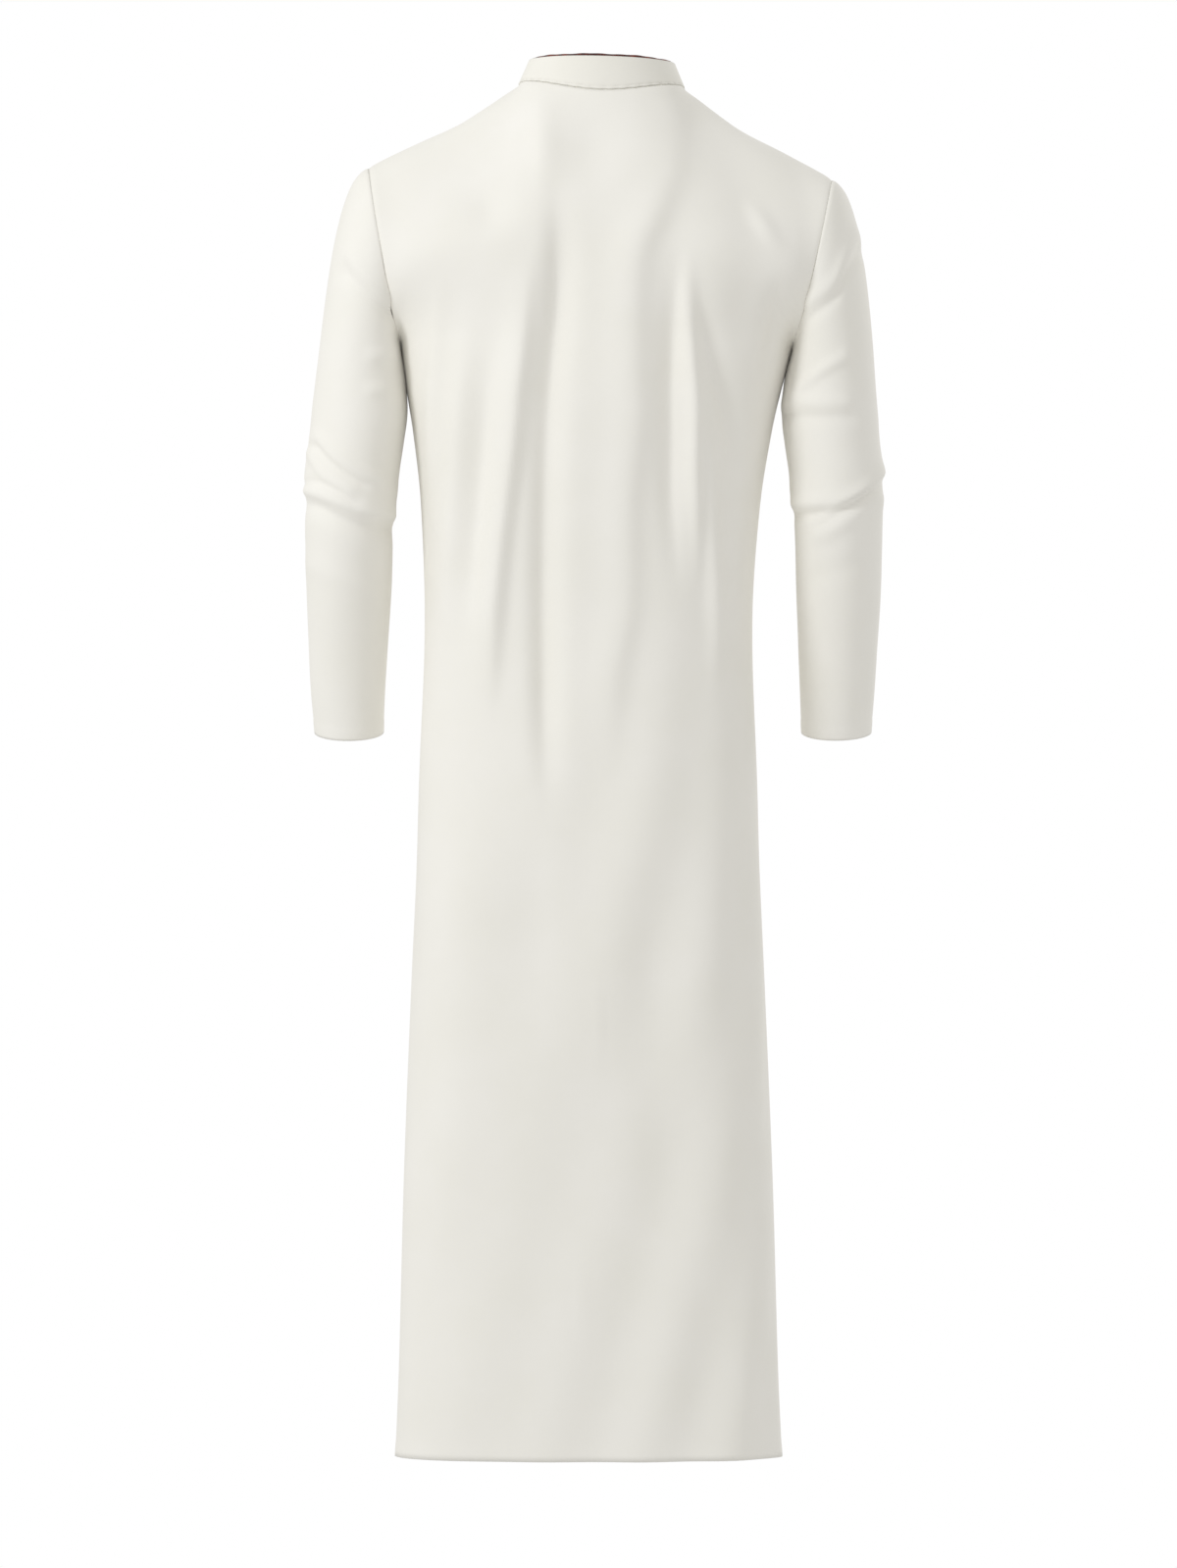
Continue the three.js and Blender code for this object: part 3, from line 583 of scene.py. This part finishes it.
RIGHT_CREASES = [
    {"low": 5, "up": 10, "high": 3.4,
     "path": [(-425, -1.0), (-426, -0.54), (-424, -0.1), (-419, 0.27), (-409, 0.6), (-392, 1.0)]},
    {"low": 6, "up": 5, "high": -2.8,
     "path": [(-436, -1.0), (-436, -0.5), (-433, -0.1), (-428, 0.27), (-418, 0.6), (-402, 1.0)]},
    {"low": 4, "up": 5, "high": 2.0,
     "path": [(-444, -0.6), (-436, -0.27), (-428, -0.03), (-405, 0.9)]},
    {"low": 10, "up": 8, "high": 2.8,
     "path": [(-456, -0.5), (-454, -0.27), (-443, 0.14), (-430, 0.6), (-419, 1.0)]},
    {"low": 7, "up": 9, "high": 2.8,
     "path": [(-320, -1.0), (-301, -0.48), (-288, -0.14), (-276, 0.3)]},
    {"low": 6, "up": 8, "high": 2.2,
     "path": [(-316, -1.0), (-324, -0.34), (-324, 0.32)]},
    {"low": 9, "up": 6, "high": -2.2,
     "path": [(-334, -1.0), (-338, -0.34), (-337, 0.4)]},
    {"low": 8, "up": 10, "high": 2.6,
     "path": [(-145, 0.95), (-176, 0.5), (-197, 0.2), (-217, -0.4)]},
    {"low": 8, "up": 7, "high": -2.2,
     "path": [(-162, 0.95), (-192, 0.5), (-213, 0.2), (-232, -0.4)]},
    {"low": 12, "up": 12, "high": -1.2,
     "path": [(-500, -0.7), (-492, 0.0), (-480, 0.8)]},
]


def arm_ring(angle, z):
    half = (curve(ARM, "z", "outer", z) - curve(ARM, "z", "inner", z)) / 2
    middle = (curve(ARM, "z", "outer", z) + curve(ARM, "z", "inner", z)) / 2
    tilt = FOREARM_TILT * ease((ELBOW_Z - z) / ELBOW_OVER)
    deep = curve(ARM, "z", "deep", z) * np.sin(angle)
    y = curve(ARM, "z", "mid", z) + deep * np.cos(tilt)
    return point(middle + half * np.cos(angle), y, z - deep * np.sin(tilt))


def sleeve_form(angle, down):
    """angle 0 is the arm's outside and a quarter turn its back; down is 1 below the head, 2 at the cuff."""
    side = np.where(np.sin(angle) >= 0, 1, -1)
    along = np.arccos(np.clip(np.cos(angle), -1, 1)) / math.pi
    start = armhole_seam(along, BACK)
    start[..., 1] *= side
    start = start + np.array([0.98, 0, -0.2]) * (SEAM_GAP + 0.1)
    end = arm_ring(angle, np.full_like(angle, SLEEVE_HEAD_Z))
    length = np.linalg.norm(end - start, axis=-1)[..., None]
    drop = np.radians(24 + 66 * along)
    leave = point(np.cos(drop), 0.1 * np.sin(angle), -np.sin(drop)) * 0.45 * length
    arrive = point(0.1 * np.cos(angle), 0, -1) * 1.16 * length
    head = hermite(start, leave, end, arrive, np.minimum(down, 1)[..., None])
    z = SLEEVE_HEAD_Z + (CUFF_Z - SLEEVE_HEAD_Z) * np.maximum(down - 1, 0)
    return np.where((down < 1)[..., None], head, arm_ring(angle, z))


def sleeve(hand, creases, seed):
    """Ridges are left out under the arm, where the sleeve lies close to the body."""
    share = np.linspace(0, 1, TALL + 1)
    down = np.where(share < HEAD_SHARE, share / HEAD_SHARE, 1 + (share - HEAD_SHARE) / (1 - HEAD_SHARE))
    angle, down = np.meshgrid(np.arange(AROUND) * 2 * math.pi / AROUND, down)
    form = sleeve_form(angle, down)
    normal = grid_normals(form, True, -1)
    on_back = ease(0.5 + np.sin(angle) * 1.2)
    on_front = ease(0.2 - np.sin(angle) * 1.2)
    flat = np.cos(angle)
    lift = cross_folds(creases, flat, form[..., 2]) * on_back
    front_z = form[..., 2] + FRONT_CREASE["lower"]
    lift += cross_folds(creases, -flat, front_z) * on_front * FRONT_CREASE["share"]
    lift += slow_waves(form, SLEEVE_WAVE, seed) * ease(down / 0.2)
    inner = ease((-flat - UNDERARM["from"]) / UNDERARM["over"])
    inner = inner * ease((form[..., 2] - UNDERARM["z"]) / UNDERARM["fade"])
    lift = np.where(lift > 0, lift * (1 - inner), lift)
    lift += turned_edge((2 - down) * (SLEEVE_HEAD_Z - CUFF_Z), HEM_TURN) * 0.9
    lift -= np.exp(-((down * HEAD_LENGTH / SEAM_DIP["wide"]) ** 2))
    form = form + normal * lift[..., None]
    form[..., 0] *= hand
    return posture(form, "sleeve")


def cross_folds(creases, flat, z):
    """Folds that run across the arm: their path gives a height for each place across it."""
    total = np.zeros_like(z)
    for crease in creases:
        heights, stops = np.array(sorted(crease["path"], key=lambda p: p[1])).T
        centre = curve({"a": list(stops), "c": list(heights)}, "a", "c", flat)
        ends = ease((flat - stops[0] + 0.3) / 0.35) * ease((stops[-1] + 0.3 - flat) / 0.35)
        off = z - centre
        wide = np.where(off < 0, crease["low"], crease["up"])
        total += crease["high"] * ends * np.exp(-((off / wide) ** 2))
    return total


left_rows = sleeve(LEFT, LEFT_CREASES, 21)
right_rows = sleeve(RIGHT, RIGHT_CREASES, 22)
sleeve_left = sheet_piece("sleeve_left_cloth", left_rows[:, ::-1], shirting, closed=True)
sleeve_right = sheet_piece("sleeve_right_cloth", right_rows, shirting, closed=True)
for piece, node in ((sleeve_left, "sleeve_left"), (sleeve_right, "sleeve_right")):
    hang(piece, node)

# %% [markdown]
# ## Collar
# A stand collar is two layers with interlining, so it is smooth and stiff. A row of stitches runs
# just above its seam. Its front corners are rounded.

# %% Collar
COLLAR_END, CORNER = 179.2, 9
COLLAR_WALL = 2.2
COLLAR_STEPS = (361, 25)
TOP_HALF, TOP_MIDDLE, TOP_DEEP = 73, -4, 64


def collar_form(deg, height):
    turn = np.radians(deg)
    seam = neck_seam(np.abs(deg))
    seam[..., 0] *= np.where(deg < 0, -1, 1)
    top = point(TOP_HALF * np.sin(turn), TOP_MIDDLE + TOP_DEEP * np.cos(turn),
                curve(COLLAR, "deg", "top", np.abs(deg)))
    corner = np.clip(1 - (COLLAR_END - np.abs(deg)) / CORNER, 0, 1)
    reach = (height * (1 - 0.3 * (1 - np.sqrt(1 - corner**2))))[..., None]
    return seam + (top - seam) * reach


def collar_rows():
    around, tall = COLLAR_STEPS
    deg, height = np.meshgrid(np.linspace(-COLLAR_END, COLLAR_END, around), np.linspace(1, 0, tall))
    form = collar_form(deg, height)
    normal = grid_normals(form, False, 1)
    pucker = 0.35 * np.sin(np.radians(deg) * 42) * np.exp(-(((height - 0.06) / 0.05) ** 2))
    groove = -0.6 * np.exp(-(((height - 0.08) / 0.03) ** 2))
    return posture(form + normal * (pucker + groove)[..., None], "body")


collar_grid = collar_rows()
collar = sheet_piece("collar_cloth", collar_grid, collar_cloth, wall=COLLAR_WALL)
hang(collar, "collar")

# %% [markdown]
# ## Piping
# A thin cord covered in dark red-brown satin edges the collar. It is spun thread over a core, so
# the material has a fine twist, small lighter slubs and a low gloss. It wanders a little where
# it was sewn. A ring of points swept along the edge gives it, and its ends are closed.

# %% Piping
CORD = {"rise": 1.25, "wide": 1.45, "high": 1.4, "sides": 14}


def satin_cord():
    material, tree, shader = new_material("satin-covered piping cord")
    place = add_node(tree, "ShaderNodeTexCoord")
    two_tone(tree, shader, noise(tree, place, 160, 3).outputs["Fac"], "#3f0c05", "#84341a", 0.4, 0.72)
    twist = ribs(tree, place, "DIAGONAL", 260)
    bump = add_node(tree, "ShaderNodeBump", inputs={"Strength": 0.4, "Distance": 0.0002},
                    links={"Height": twist.outputs["Fac"]})
    tree.links.new(bump.outputs["Normal"], shader.inputs["Normal"])
    shader.inputs["Roughness"].default_value = 0.5
    shader.inputs["Sheen Weight"].default_value = 0.15
    return material


def piping_rows():
    deg = np.linspace(-COLLAR_END, COLLAR_END, COLLAR_STEPS[0])
    edge = collar_grid[0]
    up = edge - collar_grid[COLLAR_STEPS[1] // 2]
    up /= np.linalg.norm(up, axis=-1, keepdims=True)
    out = grid_normals(collar_grid, False, 1)[0]
    wander = 0.25 * np.sin(np.radians(deg) * 9) + 0.15 * np.sin(np.radians(deg) * 23 + 1)
    middle = edge - out * COLLAR_WALL / 2 + up * (CORD["rise"] + wander)[:, None]
    turn = np.arange(CORD["sides"]) * 2 * math.pi / CORD["sides"]
    size = np.sqrt(np.clip((COLLAR_END + 0.6 - np.abs(deg)) / 1.6, 0.05, 1))
    sideways = out[:, None] * np.cos(turn)[None, :, None] * CORD["wide"]
    upright = up[:, None] * np.sin(turn)[None, :, None] * CORD["high"]
    return middle[:, None] + (sideways + upright) * size[:, None, None]


piping = sheet_piece("piping_cord", piping_rows(), satin_cord(), closed=True, wall=0)
close = bmesh.new()
close.from_mesh(piping.data)
bmesh.ops.holes_fill(close, edges=[e for e in close.edges if e.is_boundary], sides=0)
bmesh.ops.recalc_face_normals(close, faces=close.faces)
close.to_mesh(piping.data)
close.free()
hang(piping, "collar_piping")

# %% [markdown]
# ## Placket and buttons
# The placket is a doubled strip over the front slit. It is made from the front panel's own rows,
# moved out, so it lies on the panel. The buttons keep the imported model's shape, which is already
# a four-hole button, and only get their finish.

# %% Placket
SLIT_END_Z = -405
MIDDLE = front_rows.shape[1] // 2
STRIP_HALF = 5


def strip(name, node, lift, wall):
    """A strip of the front panel's own rows, from the neck to the end of the slit, moved out by lift."""
    slit_end = int(np.argmin(np.abs(front_rows[:, MIDDLE, 2] - SLIT_END_Z)))
    part = np.s_[:slit_end, MIDDLE - STRIP_HALF:MIDDLE + STRIP_HALF + 1]
    rows = front_rows[part] + front_normals[part] * lift
    piece = sheet_piece(name, rows[:, ::-1], collar_cloth, wall=wall)
    hang(piece, node)


strip("placket_over_cloth", "placket_over", 1.5, 1.2)
strip("placket_under_cloth", "placket_under", -1.4, 1.0)

# %% Button finish: polished polyester
def polyester_button():
    material, tree, shader = new_material("polished polyester button")
    place = add_node(tree, "ShaderNodeTexCoord")
    two_tone(tree, shader, noise(tree, place, 260).outputs["Fac"], "#ddd5c2", "#f3eee2")
    shader.inputs["Roughness"].default_value = 0.25
    shader.inputs["IOR"].default_value = 1.55
    shader.inputs["Coat Weight"].default_value = 0.3
    return material


button_finish = polyester_button()
for name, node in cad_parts.items():
    if name.startswith("button"):
        node.data.materials.clear()
        node.data.materials.append(button_finish)
        print(name, "finish", button_finish.name)

# %% [markdown]
# ## Stitches
# Machine stitches hold the hem, the cuffs and the collar. Each is a short thread lying in its
# groove, made once as a small sphere, stretched and set along a row of the cloth.

# %% Stitch rows
STITCH = {"long": 2.2, "pitch": 3.0, "thick": 0.45, "proud": 0.1}
COLLAR_STITCH = 2.6


def thread_material():
    material, tree, shader = new_material("polyester sewing thread")
    place = add_node(tree, "ShaderNodeTexCoord")
    two_tone(tree, shader, noise(tree, place, 300).outputs["Fac"], "#d8d3c4", "#f0ece0")
    shader.inputs["Roughness"].default_value = 0.6
    return material


sewing_thread = thread_material()


def stitch_row(name, line, out):
    """Threads laid end to end along a line of points, each turned to lie along it."""
    steps = np.linalg.norm(np.diff(line, axis=0), axis=1)
    walked = np.concatenate([[0], np.cumsum(steps)])
    stops = np.arange(STITCH["pitch"], walked[-1] - STITCH["pitch"], STITCH["pitch"])

    def read(at, field):
        return np.array([np.interp(at, walked, field[:, k]) for k in range(3)]).T

    centres, normals = read(stops, line), read(stops, out)
    ahead = read(stops + 1, line) - read(stops - 1, line)
    threads = bmesh.new()
    for centre, forward, normal in zip(centres, ahead, normals):
        x = Vector(forward).normalized()
        y = Vector(normal).cross(x).normalized()
        turned = Matrix((x, y, x.cross(y))).transposed().to_4x4()
        size = Matrix.Diagonal((STITCH["long"] / 2, STITCH["thick"] / 2, STITCH["thick"] / 2, 1))
        where = Matrix.Translation(Vector(centre) * MM) @ turned @ Matrix.Scale(MM, 4) @ size
        bmesh.ops.create_icosphere(threads, subdivisions=1, radius=1, matrix=where)
    mesh = bpy.data.meshes.new(name)
    threads.to_mesh(mesh)
    threads.free()
    piece = bpy.data.objects.new(name, mesh)
    bpy.context.collection.objects.link(piece)
    mesh.materials.append(sewing_thread)
    hang(piece, None)
    print(name, "stitches", len(centres))


def line_at(rows, normals, low):
    """The line across a grid that is a given length above its lower edge."""
    steps = np.linalg.norm(np.diff(rows[::-1], axis=0), axis=-1)
    walked = np.concatenate([np.zeros((1, rows.shape[1])), np.cumsum(steps, axis=0)])
    columns = range(rows.shape[1])
    line = [[np.interp(low, walked[:, c], rows[::-1, c, k]) for k in range(3)] for c in columns]
    return np.array(line) + normals[-2] * STITCH["proud"], normals[-2]


LOW = HEM_TURN - STITCH_IN
left_normals, right_normals = grid_normals(left_rows, True, -1), grid_normals(right_rows, True, 1)
collar_normals = grid_normals(collar_grid, False, 1)
stitch_row("hem_stitches_back", *line_at(back_rows, back_normals, LOW))
stitch_row("hem_stitches_front", *line_at(front_rows, front_normals, LOW))
stitch_row("cuff_stitches_left", *line_at(left_rows, left_normals, LOW))
stitch_row("cuff_stitches_right", *line_at(right_rows, right_normals, LOW))
stitch_row("collar_stitches", *line_at(collar_grid, collar_normals, COLLAR_STITCH))

# %% [markdown]
# ## Light
# A broad soft light stands high on the camera's left, so the wearer's left side is brightest. A white
# surround fills the rest, and a weaker light reaches the front.

# %% Lights and surround
ROBE_MIDDLE = Vector((0, 0, -0.7))


def area_light(name, place, power, size, color):
    data = bpy.data.lights.new(name, "AREA")
    data.energy = power
    data.color = color
    data.shape = "DISK"
    data.size = size
    light = bpy.data.objects.new(name, data)
    light.location = place
    light.rotation_euler = (ROBE_MIDDLE - Vector(place)).to_track_quat("-Z", "Y").to_euler()
    bpy.context.collection.objects.link(light)


area_light("key", place=(3.0, 2.4, 1.5), power=58, size=1.2, color=(0.97, 0.985, 1.0))
area_light("front_fill", place=(-2.5, -4.0, 1.0), power=40, size=2.5, color=(1.0, 0.99, 0.96))

world = bpy.data.worlds.new("studio")
bpy.context.scene.world = world
world.use_nodes = True
sky = world.node_tree
surround = sky.nodes["Background"]
surround.inputs["Color"].default_value = (1.0, 0.993, 0.975, 1)
surround.inputs["Strength"].default_value = 0.73
seen = add_node(sky, "ShaderNodeBackground", inputs={"Color": (1, 1, 1, 1), "Strength": 1.0})
rays = add_node(sky, "ShaderNodeLightPath")
ways = {0: rays.outputs["Is Camera Ray"], 1: surround.outputs[0], 2: seen.outputs[0]}
either = add_node(sky, "ShaderNodeMixShader", links=ways)
sky.links.new(either.outputs[0], sky.nodes["World Output"].inputs["Surface"])

print("lights", [light.name for light in bpy.data.lights])
